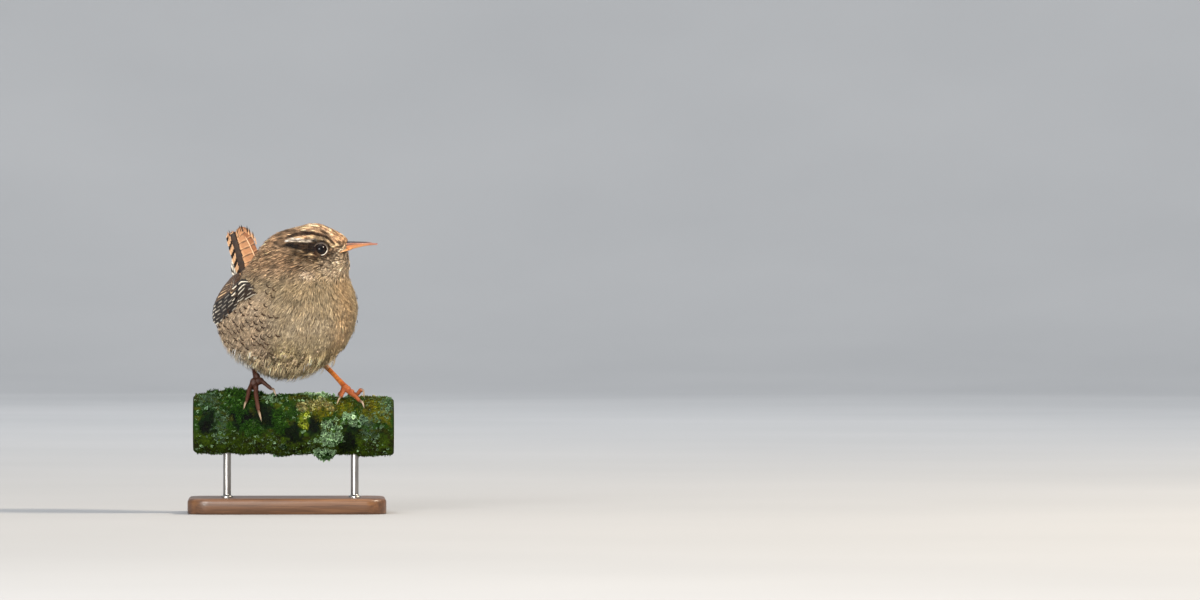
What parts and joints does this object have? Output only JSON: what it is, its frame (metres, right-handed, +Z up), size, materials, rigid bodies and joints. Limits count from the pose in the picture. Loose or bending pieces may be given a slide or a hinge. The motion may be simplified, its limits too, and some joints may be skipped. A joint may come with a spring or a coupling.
{
  "type": "wren",
  "caption": "Small plump songbird with a cocked tail gripping a short length of lichened branch, held by a plain display stand.",
  "frame": {"origin": "centre of the flat underside of the stand's base, which rests on the floor", "axes": "+Z up; +X along the perch, towards the side that the bill points to; the breast is turned towards -Y"},
  "size_m": [0.079, 0.0589, 0.1113],
  "materials": {
    "plumage_head": "soft matt feathering, warm brown with a pale brow streak",
    "plumage_body": "loose matt feathering, buff-brown, flecked on the flanks",
    "plumage_wing": "firm flight feathers, brown barred with pale buff and black",
    "plumage_tail": "firm tail feathers, rufous with narrow dark bars",
    "shank": "scaled orange-brown skin, slightly glossy",
    "claw": "pale translucent horn",
    "bill_upper": "smooth dark brown horn",
    "bill_lower": "smooth yellowish horn, darker at the tip",
    "eye": "wet, near black",
    "bark": "dark bark grown over with green moss and grey-green lichen, sawn ends",
    "stand_wood": "satin oiled hardwood",
    "stand_metal": "brushed steel"
  },
  "bodies": {
    "root": {"head": "plumage_head", "neck": "plumage_body", "trunk": "plumage_body", "wing_right": "plumage_wing", "wing_left": "plumage_wing", "tail": "plumage_tail", "eye_right": "eye", "eye_left": "eye", "bill_upper": "bill_upper", "bill_lower": "bill_lower", "thigh_right": "plumage_body", "tarsus_right": "shank", "thigh_left": "plumage_body", "tarsus_left": "shank", "perch": "bark", "stand_base": "stand_wood", "stand_rod_1": "stand_metal", "stand_rod_2": "stand_metal", "toe_right_outer": "shank", "claw_right_outer": "claw", "toe_right_middle": "shank", "claw_right_middle": "claw", "toe_right_inner": "shank", "claw_right_inner": "claw", "toe_right_hallux": "shank", "claw_right_hallux": "claw", "toe_left_outer": "shank", "claw_left_outer": "claw", "toe_left_middle": "shank", "claw_left_middle": "claw", "toe_left_inner": "shank", "claw_left_inner": "claw", "toe_left_hallux": "shank", "claw_left_hallux": "claw"}
  },
  "joints": []
}
